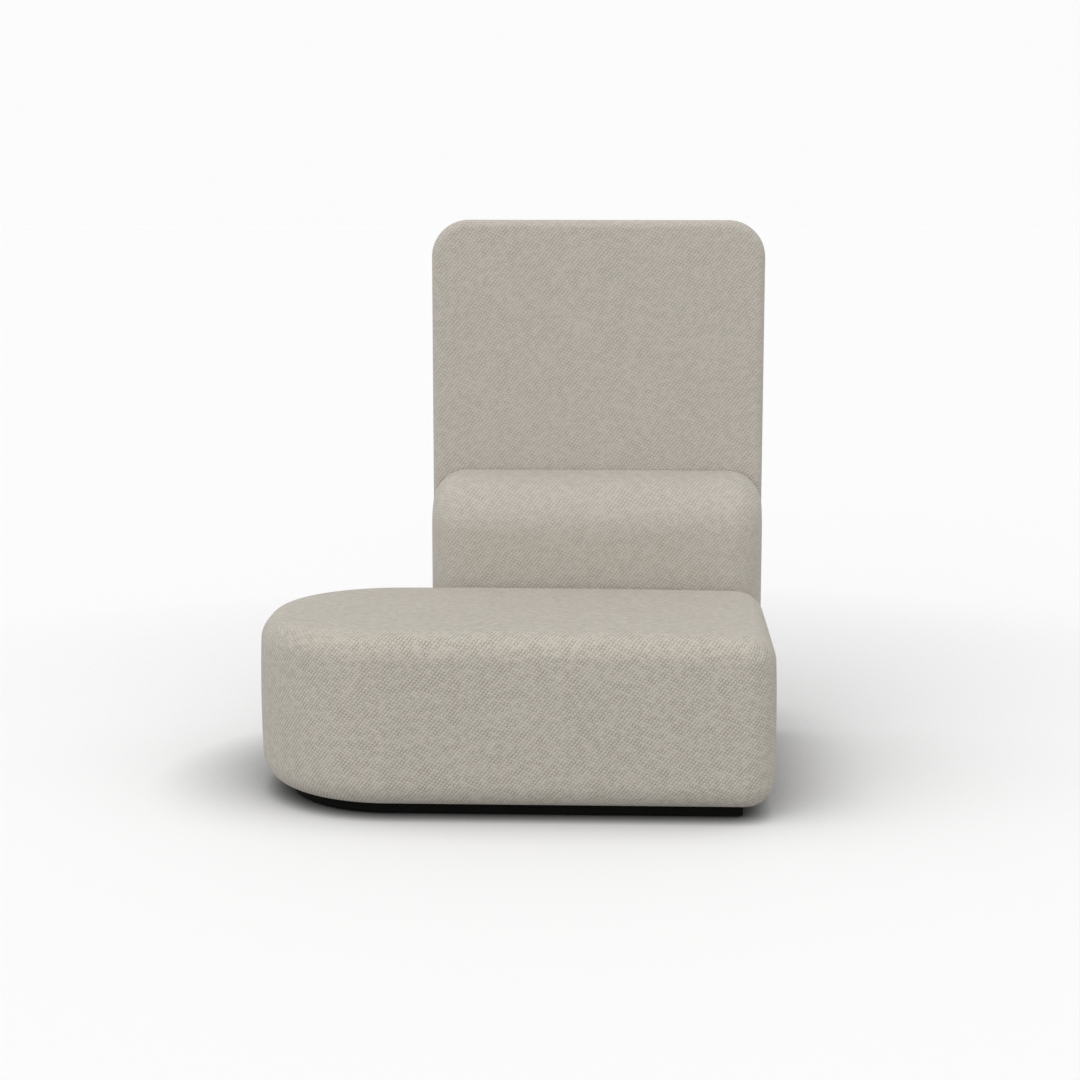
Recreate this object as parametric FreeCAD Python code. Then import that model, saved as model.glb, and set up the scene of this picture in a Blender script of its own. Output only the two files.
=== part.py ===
import FreeCAD, Part
import math
import os

# A lounge seat: a rounded seat block, a low bolster and a tall panel behind it,
# all upholstered over plywood and carried on one recessed plinth with levelling feet.
# Millimetres. +X to the sitter's left (right in the front view), -Y is the front, +Z up.
# The origin is on the floor, in the middle of the whole outline.

V = FreeCAD.Vector

# Seat block
seat_width = 1228.0
seat_depth = 690.0
seat_height = 438.0
seat_crown = 7.0
seat_tilt = 1.3
seat_edge_radius = 65.0
front_left_radius = 328.0
left_flat = 55.0
front_right_radius = 73.0
rear_right_radius = 85.0

# Bolster, the low back
bolster_width = 850.0
bolster_depth = 145.0
bolster_height = 708.0
bolster_front_radius = 140.0
bolster_side_radius = 90.0
bolster_bottom_radius = 60.0
bolster_rear_radius = 12.0
bolster_top_foam = 130.0
slope_at_front = 45.0
slope_at_panel = 5.0

# Panel, the tall back
panel_height = 1344.0
panel_thickness = 60.0
panel_overhang = 1.5
panel_corner_radius = 94.0
panel_foot_radius = 26.0
panel_edge_radius = 22.0
panel_edge_padding = 10.0

# Upholstery layers
cover_thickness = 2.0
wadding_thickness = 10.0
topper_thickness = 30.0
core_thickness = 70.0
carcass_inset = 70.0
hem_width = 12.0
layer_gap = 0.3

# Plywood carcass
board = 18.0
bent_board = 9.0
smallest_corner = 3.0
rib_slot_height = 90.0
rib_slot_margin = 110.0
block_leg = 45.0
strap_width = 60.0
strap_pitch = 95.0
strap_thickness = 2.5

# Plinth and levelling feet
plinth_height = 25.0
plinth_inset = 74.0
plinth_rail = 60.0
rear_rail = 40.0
foot_radius = 20.0
foot_pad = 5.0
foot_edge = 1.5
foot_gap = 0.3
stud_radius = 4.0
stud_length = 23.0
stud_clearance = 0.2
insert_radius = 6.0
insert_length = 18.0
insert_flange_radius = 9.0
insert_flange = 1.5
fit_gap = 0.15

# Panel bolts and plinth screws
bolt_radius = 4.0
bolt_head_radius = 7.0
bolt_head = 5.0
washer_radius = 10.0
washer_thickness = 1.6
tee_barrel_radius = 5.0
tee_barrel = 12.0
tee_flange_radius = 11.0
tee_flange = 1.5
bolt_side_margin = 100.0
bolt_row_margin = 80.0
screw_radius = 2.5
screw_head_radius = 5.0
screw_head = 4.0
screw_sink = 1.0
screw_grip = 14.0
screw_end_margin = 75.0

# Levels and places that follow from the sizes above
whole_width = seat_width + panel_overhang
whole_depth = seat_depth + bolster_depth + panel_thickness
underside = foot_pad + plinth_height
seat_left = -whole_width / 2
seat_right = seat_left + seat_width
seat_front = -whole_depth / 2
seat_rear = seat_front + seat_depth
rear_left_radius = seat_depth - front_left_radius - left_flat
bolster_right = seat_right
bolster_left = bolster_right - bolster_width
panel_front = seat_rear + bolster_depth
panel_left = bolster_left - panel_overhang
panel_right = bolster_right + panel_overhang

wadding_outer = cover_thickness + layer_gap
wadding_inner = wadding_outer + wadding_thickness
foam_outer = wadding_inner + layer_gap
hem_inset = carcass_inset + hem_width

lean = math.radians(seat_tilt)
deck_top = seat_height - seat_crown - foam_outer - topper_thickness - core_thickness
rail_top = deck_top - strap_thickness
board_top = underside + board
bend_x = seat_left + max(front_left_radius, rear_left_radius)
carcass_right = seat_right - carcass_inset
carcass_front = seat_front + carcass_inset
carcass_rear = seat_rear - carcass_inset

back_left = bolster_left + carcass_inset
back_right = bolster_right - carcass_inset
back_front = seat_rear + bolster_bottom_radius
back_rear = panel_front - cover_thickness
back_top = bolster_height - bolster_top_foam

core_front = panel_front + (panel_thickness - board) / 2
core_rear = core_front + board


# Small helpers
def box(x0, y0, z0, x1, y1, z1):
    return Part.makeBox(x1 - x0, y1 - y0, z1 - z0, V(x0, y0, z0))


def prism(outline, bottom, top):
    """A flat outline at z = 0, raised between two levels."""
    face = Part.Face(outline)
    face.translate(V(0, 0, bottom))
    return face.extrude(V(0, 0, top - bottom))


def rounded_outline(x0, y0, x1, y1, radii):
    """A closed outline of lines and quarter arcs. Radii: front left, front right, rear right, rear left."""
    front_l, front_r, rear_r, rear_l = radii
    bow = 1 - math.sqrt(0.5)

    def arc(start, middle, end):
        return Part.Arc(V(*start, 0), V(*middle, 0), V(*end, 0)).toShape()

    def line(start, end):
        return Part.LineSegment(V(*start, 0), V(*end, 0)).toShape()

    edges = [
        line((x0 + front_l, y0), (x1 - front_r, y0)),
        arc((x1 - front_r, y0), (x1 - front_r * bow, y0 + front_r * bow), (x1, y0 + front_r)),
        line((x1, y0 + front_r), (x1, y1 - rear_r)),
        arc((x1, y1 - rear_r), (x1 - rear_r * bow, y1 - rear_r * bow), (x1 - rear_r, y1)),
        line((x1 - rear_r, y1), (x0 + rear_l, y1)),
        arc((x0 + rear_l, y1), (x0 + rear_l * bow, y1 - rear_l * bow), (x0, y1 - rear_l)),
        line((x0, y1 - rear_l), (x0, y0 + front_l)),
        arc((x0, y0 + front_l), (x0 + front_l * bow, y0 + front_l * bow), (x0 + front_l, y0)),
    ]
    return Part.Wire(edges)


def seat_outline(inset):
    """The seat block's plan outline, drawn in by inset."""
    corners = [front_left_radius, front_right_radius, rear_right_radius, rear_left_radius]
    radii = [max(radius - inset, smallest_corner) for radius in corners]
    return rounded_outline(
        seat_left + inset, seat_front + inset, seat_right - inset, seat_rear - inset, radii
    )


def edges_where(shape, test):
    return [edge for edge in shape.Edges if test(edge.BoundBox)]


def post(radius, start, length, direction):
    return Part.makeCylinder(radius, length, start, direction)


UP = V(0, 0, 1)
BACK = V(0, 1, 0)


# Soft forms, each of which can be drawn in to make the layers under the cover
def seat_form(inset):
    """The seat block: the plan outline under a shallow dome that leans back, with rounded rims."""
    bottom = underside + inset
    top = seat_height - inset
    block = prism(seat_outline(inset), bottom, top + seat_depth * math.sin(lean))
    dome_radius = (seat_width**2 + seat_depth**2) / (8 * seat_crown)
    middle = (seat_front + seat_rear) / 2 - dome_radius * math.sin(lean)
    centre = V((seat_left + seat_right) / 2, middle, top - dome_radius * math.cos(lean))
    dome = Part.makeSphere(dome_radius, centre, BACK)
    dome.rotate(centre, BACK, 180)
    block = block.common(dome)
    rims = edges_where(block, lambda b: b.ZLength < seat_height / 4)
    corners = [front_left_radius, front_right_radius, rear_right_radius, rear_left_radius]
    rim_radius = min(seat_edge_radius, min(corners) - smallest_corner) - inset
    return block.makeFillet(rim_radius, rims)


def bolster_profile(inset):
    """Side profile: a straight front, a round front edge and a gently domed top up to the panel."""
    slope = math.radians(slope_at_front)
    end_slope = math.radians(slope_at_panel)
    edge = bolster_front_radius
    run = bolster_depth - edge * (1 - math.sin(slope))
    dome = run / (math.sin(slope) - math.sin(end_slope))
    front_top = bolster_height - edge * math.cos(slope) - dome * (math.cos(end_slope) - math.cos(slope))
    bottom = underside + inset
    rear = panel_front - min(inset, wadding_outer)
    edge_y = seat_rear + edge
    dome_y = edge_y + (dome - edge) * math.sin(slope)
    dome_z = front_top - (dome - edge) * math.cos(slope)

    def on_edge(angle):
        reach = edge - inset
        return V(0, edge_y - reach * math.sin(angle), front_top + reach * math.cos(angle))

    def on_dome(angle):
        reach = dome - inset
        return V(0, dome_y - reach * math.sin(angle), dome_z + reach * math.cos(angle))

    last = math.asin((dome_y - rear) / (dome - inset))
    upright = math.pi / 2
    start = V(0, seat_rear + inset, bottom)
    return Part.Wire(
        [
            Part.LineSegment(start, on_edge(upright)).toShape(),
            Part.Arc(on_edge(upright), on_edge((upright + slope) / 2), on_edge(slope)).toShape(),
            Part.Arc(on_edge(slope), on_dome((slope + last) / 2), on_dome(last)).toShape(),
            Part.LineSegment(on_dome(last), V(0, rear, bottom)).toShape(),
            Part.LineSegment(V(0, rear, bottom), start).toShape(),
        ]
    )


def bolster_form(inset):
    """The bolster: its profile run along X, with round ends, a round foot and a small rear edge."""
    left = bolster_left + inset
    right = bolster_right - inset
    bottom = underside + inset
    rear = panel_front - min(inset, wadding_outer)
    face = Part.Face(bolster_profile(inset))
    face.translate(V(left, 0, 0))
    block = face.extrude(V(right - left, 0, 0))
    near = smallest_corner / 2

    def end_edge(b):
        on_end = b.XLength < near
        return on_end and b.ZMax > bottom + near and b.YMin < rear - near

    def foot_edge(b):
        return b.ZMax < bottom + near and b.YMin < rear - near

    def rear_edge(b):
        return b.YMin > rear - near

    end_radius = min(bolster_side_radius, bolster_front_radius - smallest_corner) - inset
    block = block.makeFillet(end_radius, edges_where(block, end_edge))
    block = block.makeFillet(bolster_bottom_radius - inset, edges_where(block, foot_edge))
    rear_radius = max(bolster_rear_radius - inset, near)
    return block.makeFillet(rear_radius, edges_where(block, rear_edge))


def panel_plate(inset, front, rear):
    """The panel's front outline, drawn in by inset, between two planes."""
    radii = [panel_foot_radius, panel_foot_radius, panel_corner_radius, panel_corner_radius]
    radii = [max(radius - inset, smallest_corner) for radius in radii]
    outline = rounded_outline(
        panel_left + inset, underside + inset, panel_right - inset, panel_height - inset, radii
    )
    outline.rotate(V(0, 0, 0), V(1, 0, 0), 90)
    face = Part.Face(outline)
    face.translate(V(0, front, 0))
    return face.extrude(V(0, rear - front, 0))


def panel_form(inset):
    """The padded panel: a plate with rounded rims on both faces."""
    front = panel_front + inset
    rear = panel_front + panel_thickness - inset
    plate = panel_plate(inset, front, rear)
    rims = edges_where(plate, lambda b: b.YLength < smallest_corner)
    return plate.makeFillet(min(panel_edge_radius, panel_foot_radius - smallest_corner) - inset, rims)


# Seat block pieces
def seat_cover():
    """A fabric bag, open underneath inside its hem."""
    bag = seat_form(0).cut(seat_form(cover_thickness))
    mouth = prism(seat_outline(hem_inset), underside - board, underside + board)
    return bag.cut(mouth)


def carcass_prism(inset, bottom, top):
    return prism(seat_outline(inset), bottom, top)


def seat_wadding():
    layer = seat_form(wadding_outer).cut(seat_form(wadding_inner))
    return layer.cut(carcass_prism(carcass_inset - layer_gap, 0, underside + seat_edge_radius))


def seat_foams():
    """Soft topper, firm core and the foam round the carcass, cut from one form."""
    form = seat_form(foam_outer)
    reach = whole_width
    core_top = deck_top + core_thickness
    topper = form.common(box(-reach, -reach, core_top + layer_gap, reach, reach, panel_height))
    core = form.common(box(-reach, -reach, deck_top + layer_gap, reach, reach, core_top))
    sides = form.common(box(-reach, -reach, 0, reach, reach, deck_top))
    sides = sides.cut(carcass_prism(carcass_inset - layer_gap, 0, seat_height))
    return topper, core, sides


def hem_rebate(outline_outer, outline_inner):
    """The shallow step under a base board that takes the cover's hem."""
    step = cover_thickness + layer_gap
    return prism(outline_outer, 0, underside + step).cut(prism(outline_inner, 0, underside + step))


def seat_base_board():
    plate = carcass_prism(carcass_inset, underside, board_top)
    inner = seat_outline(hem_inset + layer_gap)
    return plate.cut(hem_rebate(seat_outline(carcass_inset - layer_gap), inner))


def seat_end_skin():
    """Thin plywood bent round the left end."""
    ring = carcass_prism(carcass_inset, board_top, deck_top - board)
    ring = ring.cut(carcass_prism(carcass_inset + bent_board, 0, seat_height))
    return ring.common(box(seat_left, seat_front, 0, bend_x, seat_rear, seat_height))


def seat_end_deck():
    plate = carcass_prism(carcass_inset, deck_top - board, deck_top)
    return plate.common(box(seat_left, seat_front, 0, bend_x, seat_rear, seat_height))


def seat_rails():
    """Straight rails on three sides, with their outer corners rounded as the carcass outline is."""
    outline = carcass_prism(carcass_inset, board_top, rail_top)
    inner_front = carcass_front + board
    inner_rear = carcass_rear - board
    right = carcass_right - board
    return {
        "seat_front_rail": outline.common(box(bend_x, seat_front, 0, seat_right, inner_front, seat_height)),
        "seat_rear_rail": outline.common(box(bend_x, inner_rear, 0, seat_right, seat_rear, seat_height)),
        "seat_right_rail": box(right, inner_front, board_top, carcass_right, inner_rear, rail_top),
    }


def seat_rib(x):
    """A cross rib with a rounded lightening slot."""
    front = carcass_front + board
    rear = carcass_rear - board
    rib = box(x, front, board_top, x + board, rear, rail_top)
    middle = (board_top + rail_top) / 2
    half = rib_slot_height / 2
    slot = box(x, front + rib_slot_margin, middle - half, x + board, rear - rib_slot_margin, middle + half)
    ends = edges_where(slot, lambda b: b.XLength > board / 2 and b.YLength + b.ZLength < smallest_corner)
    return rib.cut(slot.makeFillet(half - smallest_corner, ends))


def rib_places():
    """Left edge of each cross rib: one at the bend, two more in equal bays."""
    last = carcass_right - board
    bay = (last - bend_x) / 3
    return [bend_x, bend_x + bay, bend_x + 2 * bay]


def corner_block(x, y, toward_x, toward_y):
    """A three-sided glue block that stands in a corner of the carcass."""
    points = [V(x, y, 0), V(x + toward_x * block_leg, y, 0), V(x, y + toward_y * block_leg, 0), V(x, y, 0)]
    return prism(Part.makePolygon(points), board_top, rail_top)


def seat_corner_blocks():
    front = carcass_front + board
    rear = carcass_rear - board
    blocks = []
    for x in rib_places():
        blocks.append(corner_block(x + board, front, 1, 1))
        blocks.append(corner_block(x + board, rear, 1, -1))
    right = carcass_right - board
    blocks.append(corner_block(right, front, -1, 1))
    blocks.append(corner_block(right, rear, -1, -1))
    return Part.makeCompound(blocks)


def seat_webbing():
    """Elastic straps from the front rail to the rear rail."""
    first = bend_x + board
    room = carcass_right - board - first
    count = int((room - strap_width) // strap_pitch) + 1
    start = first + (room - strap_width - (count - 1) * strap_pitch) / 2
    straps = []
    for number in range(count):
        x = start + number * strap_pitch
        straps.append(box(x, carcass_front, rail_top, x + strap_width, carcass_rear, deck_top))
    return Part.makeCompound(straps)


# Back pieces
def bolster_cover():
    """A fabric bag, open underneath and at the back inside its hems."""
    bag = bolster_form(0).cut(bolster_form(cover_thickness))
    low = underside + cover_thickness + layer_gap
    foot = box(
        bolster_left + hem_inset, back_front + hem_width, 0, bolster_right - hem_inset, panel_front, low
    )
    rear_start = back_rear - bolster_rear_radius
    rear = box(bolster_left + hem_inset, rear_start, 0, bolster_right - hem_inset, panel_front, back_top)
    corner = box(back_left - layer_gap, rear_start, 0, back_right + layer_gap, panel_front, board_top)
    return bag.cut(foot).cut(rear).cut(corner)


def back_carcass_space(margin):
    return box(
        back_left - margin, back_front - margin, 0, back_right + margin, panel_front, back_top + margin
    )


def bolster_wadding():
    layer = bolster_form(wadding_outer).cut(bolster_form(wadding_inner))
    return layer.cut(back_carcass_space(layer_gap))


def bolster_foam():
    return bolster_form(foam_outer).cut(back_carcass_space(layer_gap))


def back_base_board():
    plate = box(back_left, back_front, underside, back_right, back_rear, board_top)
    step = underside + cover_thickness + layer_gap
    inset = hem_width + layer_gap
    keep = box(back_left + inset, back_front + inset, 0, back_right - inset, back_rear, step)
    rebate = box(back_left, back_front, 0, back_right, back_rear, step).cut(keep)
    return plate.cut(rebate)


def back_boards():
    """The upright box inside the bolster: front, rear, two sides and a lid."""
    lid = back_top - board
    inner_front = back_front + board
    inner_rear = back_rear - board
    rear = box(back_left, inner_rear, board_top, back_right, back_rear, lid)
    for place in panel_bolt_places():
        rear = rear.cut(post(bolt_radius + fit_gap, V(place[0], inner_rear, place[1]), board, BACK))
    return {
        "back_front_board": box(back_left, back_front, board_top, back_right, inner_front, lid),
        "back_rear_board": rear,
        "back_left_board": box(back_left, inner_front, board_top, back_left + board, inner_rear, lid),
        "back_right_board": box(back_right - board, inner_front, board_top, back_right, inner_rear, lid),
        "back_top_board": box(back_left, back_front, lid, back_right, back_rear, back_top),
    }


# Panel pieces
def panel_bolt_places():
    """Two rows of three bolts, as (x, z)."""
    left = back_left + bolt_side_margin
    right = back_right - bolt_side_margin
    low = board_top + bolt_row_margin
    high = back_top - board - bolt_row_margin
    return [(x, z) for z in (low, high) for x in (left, (left + right) / 2, right)]


def bored(shape, radius, start_y, length):
    """The shape with a hole for each panel bolt."""
    for x, z in panel_bolt_places():
        shape = shape.cut(post(radius, V(x, start_y, z), length, BACK))
    return shape


def panel_cover():
    """A fabric bag, open underneath where the core goes in."""
    bag = panel_form(0).cut(panel_form(cover_thickness))
    margin = panel_overhang + carcass_inset
    mouth = box(
        panel_left + margin, core_front, 0, panel_right - margin, core_rear, underside + board
    )
    return bored(bag.cut(mouth), bolt_radius + fit_gap, panel_front - board, 2 * board)


def panel_core():
    inset = cover_thickness + panel_edge_padding
    return bored(panel_plate(inset, core_front, core_rear), tee_barrel_radius + fit_gap, core_front, board)


def panel_foams():
    """Front and rear pads, cut from the padded form on each side of the core."""
    form = panel_form(wadding_outer)
    reach = whole_width
    front = form.common(box(-reach, panel_front, 0, reach, core_front, panel_height))
    rear = form.common(box(-reach, core_rear, 0, reach, panel_front + panel_thickness, panel_height))
    front = bored(front, bolt_radius + fit_gap, panel_front, panel_thickness)
    rear = bored(rear, tee_flange_radius + fit_gap, core_rear, tee_flange + fit_gap)
    return front, rear


def panel_edge_strip():
    """Soft strip round the core's edge, between the two pads."""
    strip = panel_form(wadding_outer).common(
        box(-whole_width, core_front + layer_gap, 0, whole_width, core_rear - layer_gap, panel_height)
    )
    inset = cover_thickness + panel_edge_padding - layer_gap
    return strip.cut(panel_plate(inset, core_front, core_rear))


def panel_bolts():
    """Bolt, washer and tee nut at each place, as three groups."""
    seat = back_rear - board - washer_thickness
    bolts = []
    washers = []
    nuts = []
    for x, z in panel_bolt_places():
        head = post(bolt_head_radius, V(x, seat - bolt_head, z), bolt_head, BACK)
        shank = post(bolt_radius, V(x, seat, z), core_rear - seat, BACK)
        bolts.append(head.fuse(shank).removeSplitter())
        washer = post(washer_radius, V(x, seat, z), washer_thickness, BACK)
        washers.append(washer.cut(post(bolt_radius + fit_gap, V(x, seat, z), washer_thickness, BACK)))
        barrel = post(tee_barrel_radius, V(x, core_rear - tee_barrel, z), tee_barrel, BACK)
        flange = post(tee_flange_radius, V(x, core_rear, z), tee_flange, BACK)
        bore = post(bolt_radius + fit_gap, V(x, core_rear - tee_barrel, z), tee_barrel + tee_flange, BACK)
        nuts.append(barrel.fuse(flange).cut(bore).removeSplitter())
    return Part.makeCompound(bolts), Part.makeCompound(washers), Part.makeCompound(nuts)


# Plinth pieces
rail_front = seat_front + plinth_inset
rail_rear = seat_rear - plinth_inset
rail_left = seat_left + plinth_inset
rail_right = seat_right - plinth_inset
back_rail_left = bolster_left + plinth_inset
back_rail_rear = back_rear - layer_gap
back_rail_front = back_rail_rear - rear_rail
half_rail = plinth_rail / 2


def plinth_rails():
    """Black rails that carry both upholstered blocks; the curved end is in two lengths."""
    ring = prism(seat_outline(plinth_inset), foot_pad, underside)
    ring = ring.cut(prism(seat_outline(plinth_inset + plinth_rail), foot_pad, underside))
    joint_y = seat_rear - rear_left_radius
    end_front = ring.common(box(seat_left, seat_front, 0, bend_x, joint_y, underside))
    end_rear = ring.common(box(seat_left, joint_y, 0, bend_x, seat_rear, underside))

    def rail(x0, y0, x1, y1):
        return box(x0, y0, foot_pad, x1, y1, underside)

    side = rail_right - plinth_rail
    return {
        "plinth_end_front_rail": end_front,
        "plinth_end_rear_rail": end_rear,
        "plinth_front_rail": rail(bend_x, rail_front, rail_right, rail_front + plinth_rail),
        "plinth_middle_rail": rail(bend_x, rail_rear - plinth_rail, side, rail_rear),
        "plinth_right_rail": rail(side, rail_front + plinth_rail, rail_right, back_rail_rear),
        "plinth_rear_rail": rail(back_rail_left, back_rail_front, side, back_rail_rear),
        "plinth_back_rail": rail(back_rail_left, rail_rear, back_rail_left + plinth_rail, back_rail_front),
    }


def foot_places():
    """Each foot's rail and centre."""
    front = rail_front + half_rail
    rear = rail_rear - half_rail
    back = (back_rail_front + back_rail_rear) / 2
    right = rail_right - half_rail
    end_y = (seat_front + front_left_radius + seat_rear - rear_left_radius) / 2
    return {
        "foot_front_left": ("plinth_front_rail", bend_x + half_rail, front),
        "foot_front_right": ("plinth_front_rail", right, front),
        "foot_end": ("plinth_end_front_rail", rail_left + half_rail, end_y),
        "foot_rear_left": ("plinth_middle_rail", bend_x + half_rail, rear),
        "foot_back_right": ("plinth_right_rail", right, back),
        "foot_back_left": ("plinth_rear_rail", back_rail_left + half_rail, back),
    }


def screw_places():
    """Each plinth screw's rail and centre: two in every straight rail, three round the end."""
    front = rail_front + half_rail
    middle = rail_rear - half_rail
    back = (back_rail_front + back_rail_rear) / 2
    right = rail_right - half_rail
    back_left_x = back_rail_left + half_rail
    back_side = (back_front + hem_width + back_rail_front) / 2
    margin = screw_end_margin
    reach = plinth_inset + half_rail
    slant = math.sqrt(0.5)
    front_reach = (front_left_radius - reach) * slant
    rear_reach = (rear_left_radius - reach) * slant
    places = [
        ("plinth_front_rail", bend_x + plinth_rail + margin, front),
        ("plinth_front_rail", right - margin, front),
        ("plinth_middle_rail", bend_x + plinth_rail + margin, middle),
        ("plinth_middle_rail", rail_right - plinth_rail - margin, middle),
        ("plinth_right_rail", right, front + half_rail + margin),
        ("plinth_right_rail", right, back_side),
        ("plinth_rear_rail", back_left_x + margin, back),
        ("plinth_rear_rail", rail_right - plinth_rail - margin, back),
        ("plinth_back_rail", back_left_x, back_side),
    ]
    front_centre = (seat_left + front_left_radius, seat_front + front_left_radius)
    rear_centre = (seat_left + rear_left_radius, seat_rear - rear_left_radius)
    places.append(("plinth_end_front_rail", front_centre[0] - front_reach, front_centre[1] - front_reach))
    places.append(("plinth_end_rear_rail", rear_centre[0] - rear_reach, rear_centre[1] + rear_reach))
    return places


def screw_space(x, y, gap):
    """A pan-head screw standing on its head's seat in the rail, or the hole it needs."""
    seat = foot_pad + screw_sink + screw_head
    tip = underside + screw_grip
    head_start = foot_pad if gap else foot_pad + screw_sink
    head = post(screw_head_radius + gap, V(x, y, head_start), seat - head_start, UP)
    shank = post(screw_radius + gap, V(x, y, seat), tip + gap - seat, UP)
    return head.fuse(shank).removeSplitter()


def foot_hole(x, y):
    """The hole that a levelling foot's insert and stud need in a rail."""
    flange = post(insert_flange_radius + fit_gap, V(x, y, foot_pad), insert_flange, UP)
    sleeve = post(insert_radius + fit_gap, V(x, y, foot_pad), insert_length, UP)
    stud = post(stud_radius + 2 * stud_clearance, V(x, y, foot_pad), plinth_height, UP)
    return flange.fuse(sleeve).fuse(stud)


def leveller_insert(x, y):
    flange = post(insert_flange_radius, V(x, y, foot_pad), insert_flange, UP)
    sleeve = post(insert_radius, V(x, y, foot_pad), insert_length, UP)
    bore = post(stud_radius + stud_clearance, V(x, y, foot_pad), insert_length, UP)
    return flange.fuse(sleeve).cut(bore).removeSplitter()


def levelling_foot(x, y):
    """A round pad on a stud."""
    pad = post(foot_radius, V(x, y, 0), foot_pad - foot_gap, UP)
    pad = pad.makeFillet(foot_edge, edges_where(pad, lambda b: b.ZLength < foot_edge))
    stud = post(stud_radius, V(x, y, foot_pad / 2), foot_pad / 2 + stud_length, UP)
    return pad.fuse(stud).removeSplitter()


# Assembly: every node's name and shape
def build_nodes():
    nodes = {}
    nodes["seat_cover"] = seat_cover()
    nodes["seat_wadding"] = seat_wadding()
    nodes["seat_foam_topper"], nodes["seat_foam_core"], nodes["seat_side_foam"] = seat_foams()
    nodes["seat_webbing"] = seat_webbing()
    nodes["seat_end_skin"] = seat_end_skin()
    nodes["seat_end_deck"] = seat_end_deck()
    nodes.update(seat_rails())
    for name, x in zip(("left", "middle", "right"), rib_places()):
        nodes["seat_rib_" + name] = seat_rib(x)
    nodes["seat_corner_blocks"] = seat_corner_blocks()
    nodes["bolster_cover"] = bolster_cover()
    nodes["bolster_wadding"] = bolster_wadding()
    nodes["bolster_foam"] = bolster_foam()
    nodes.update(back_boards())
    nodes["panel_cover"] = panel_cover()
    nodes["panel_core"] = panel_core()
    nodes["panel_foam_front"], nodes["panel_foam_rear"] = panel_foams()
    nodes["panel_edge_strip"] = panel_edge_strip()
    nodes["panel_bolts"], nodes["panel_washers"], nodes["panel_tee_nuts"] = panel_bolts()

    rails = plinth_rails()
    seat_board = seat_base_board()
    back_board = back_base_board()
    screws = []
    for rail, x, y in screw_places():
        hole = screw_space(x, y, fit_gap)
        rails[rail] = rails[rail].cut(hole)
        seat_board = seat_board.cut(hole)
        back_board = back_board.cut(hole)
        screws.append(screw_space(x, y, 0))
    inserts = []
    for name, (rail, x, y) in foot_places().items():
        rails[rail] = rails[rail].cut(foot_hole(x, y))
        inserts.append(leveller_insert(x, y))
        nodes[name] = levelling_foot(x, y)
    nodes.update(rails)
    nodes["seat_base_board"] = seat_board
    nodes["back_base_board"] = back_board
    nodes["plinth_screws"] = Part.makeCompound(screws)
    nodes["leveller_inserts"] = Part.makeCompound(inserts)
    return nodes


os.makedirs("parts", exist_ok=True)
for node, shape in build_nodes().items():
    shape.exportStep("parts/" + node + ".step")
    print(node, len(shape.Solids), "solid(s)", round(shape.Volume / 1000), "cm3", "valid", shape.isValid())
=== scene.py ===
import math
from collections import namedtuple

import bpy
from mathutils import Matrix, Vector


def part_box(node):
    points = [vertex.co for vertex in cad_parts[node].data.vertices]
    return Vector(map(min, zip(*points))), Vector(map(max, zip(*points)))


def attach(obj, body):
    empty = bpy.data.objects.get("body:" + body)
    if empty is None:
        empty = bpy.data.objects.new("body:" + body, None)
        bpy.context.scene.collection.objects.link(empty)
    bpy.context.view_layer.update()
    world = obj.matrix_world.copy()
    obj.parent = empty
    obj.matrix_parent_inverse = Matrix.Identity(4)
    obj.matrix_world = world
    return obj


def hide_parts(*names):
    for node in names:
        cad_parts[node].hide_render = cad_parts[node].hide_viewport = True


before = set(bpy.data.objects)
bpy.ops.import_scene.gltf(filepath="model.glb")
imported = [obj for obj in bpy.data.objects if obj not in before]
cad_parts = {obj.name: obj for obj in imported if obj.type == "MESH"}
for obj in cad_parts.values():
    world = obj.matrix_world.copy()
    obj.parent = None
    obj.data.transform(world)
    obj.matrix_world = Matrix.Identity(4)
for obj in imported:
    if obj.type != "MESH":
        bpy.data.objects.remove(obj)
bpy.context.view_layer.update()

# Places taken from the frame, in metres. -Y is the front, +Z is up.
seat_low, seat_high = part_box("seat_cover")
bolster_low, bolster_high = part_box("bolster_cover")
panel_low, panel_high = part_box("panel_cover")

# Seat block
seat_rim = 0.065
seat_front_left = 0.328
seat_rear_left = 0.307
seat_front_right = 0.073
seat_rear_right = 0.085
seat_height = 0.438
seat_lean = math.radians(1.3)
seat_crown = 0.007
seat_bulge = 0.0025
# The cloth's direction changes between these lengths before the inner edge of the rim
seat_turn_start = 0.05
seat_turn_end = 0.005

# Bolster
bolster_edge = 0.140
bolster_end = 0.090
bolster_foot = 0.060
bolster_tuck = 0.012
slope_at_edge = math.radians(45)
slope_at_panel = math.radians(5)
# Smallest radii where the round ends draw the section in
least_tuck = bolster_tuck / 8
least_foot = bolster_tuck / 2
# The cloth's direction changes between these angles round the ends, in radians
bolster_turn_start = 1.1
bolster_turn_end = 1.5

# Panel
panel_rim = 0.022
panel_corner = 0.094
panel_foot = 0.026
panel_crown = 0.002
# The cloth's direction changes between these shares of the way round the edge
panel_turn_start = 0.75
panel_turn_end = 0.95

# The covers end this far above the base boards' undersides, so that the boards show from below.
hem_lift = 0.0005

# Mesh steps
line_step = 0.022
arc_step = math.radians(3.5)
rim_arc_step = math.radians(5.6)
panel_arc_step = math.radians(8.75)
panel_edge_steps = 4
fill_rings = 14
cap_fill_rings = 8

# Steps along the bolster's side profile, in its order
under_tuck_steps = 4
under_line_steps = 8
foot_steps = 14
front_line_steps = 22
edge_steps = 18
dome_steps = 14
top_tuck_steps = 8
rear_line_steps = 24

# Weave: from one yarn crossing to the next, along a row and from row to row, as (right, up)
along_row = Vector((0.0050, 0.00615))
across_rows = Vector((-0.0074, 0.0032))

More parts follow.
